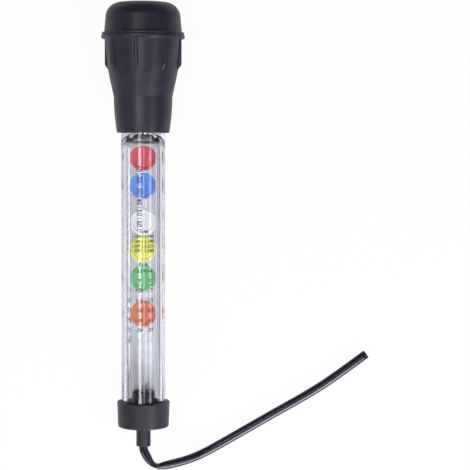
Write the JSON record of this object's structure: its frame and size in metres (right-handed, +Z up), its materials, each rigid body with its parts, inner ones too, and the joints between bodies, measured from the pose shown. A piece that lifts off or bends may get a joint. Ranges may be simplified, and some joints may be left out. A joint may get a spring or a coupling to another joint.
{
  "type": "hydrometer",
  "caption": "Squeeze-bulb hydrometer: a clear barrel with coloured floating discs, a finned rubber bulb, a rubber foot cap with nozzle, and a curved dip hose.",
  "frame": {"origin": "bottom centre of the tool without its hose, as it lies on a table", "axes": "+Z up from the table, through the front of the barrel; +Y along the tool towards the bulb; +X to the right, where the hose lies"},
  "size_m": [0.1531, 0.2667, 0.047],
  "materials": {
    "black_rubber": "matte, moulded",
    "clear_plastic": "clear, polished",
    "hose_black": "glossy flexible tube",
    "disc_orange": "moulded",
    "disc_green": "moulded",
    "disc_yellow": "moulded",
    "disc_white": "moulded",
    "disc_blue": "moulded",
    "disc_red": "moulded"
  },
  "bodies": {
    "root": {"squeeze_bulb": "black_rubber", "barrel": "clear_plastic", "lower_cap": "black_rubber", "hose": "hose_black"},
    "orange_disc": {"disc_orange": "disc_orange"},
    "green_disc": {"disc_green": "disc_green"},
    "yellow_disc": {"disc_yellow": "disc_yellow"},
    "white_disc": {"disc_white": "disc_white"},
    "blue_disc": {"disc_blue": "disc_blue"},
    "red_disc": {"disc_red": "disc_red"}
  },
  "joints": [
    {"name": "orange_disc_slide", "type": "slide", "parent": "root", "child": "orange_disc", "axis": [0, 0.9992, 0.0409], "range_m": [-0.0358, 0.0011]},
    {"name": "green_disc_slide", "type": "slide", "parent": "orange_disc", "child": "green_disc", "axis": [0, 0.9992, 0.0409], "range_m": [-0.00529, 0.0011]},
    {"name": "yellow_disc_slide", "type": "slide", "parent": "green_disc", "child": "yellow_disc", "axis": [0, 0.9992, 0.0409], "range_m": [-0.0013, 0.0011]},
    {"name": "white_disc_slide", "type": "slide", "parent": "yellow_disc", "child": "white_disc", "axis": [0, 0.9992, 0.0409], "range_m": [-0.0001, 0.0011]},
    {"name": "blue_disc_slide", "type": "slide", "parent": "white_disc", "child": "blue_disc", "axis": [0, 0.9992, 0.0409], "range_m": [-0.00529, 0.0011]},
    {"name": "red_disc_slide", "type": "slide", "parent": "blue_disc", "child": "red_disc", "axis": [0, 0.9992, 0.0409], "range_m": [-0.00073, 0.0011]}
  ]
}
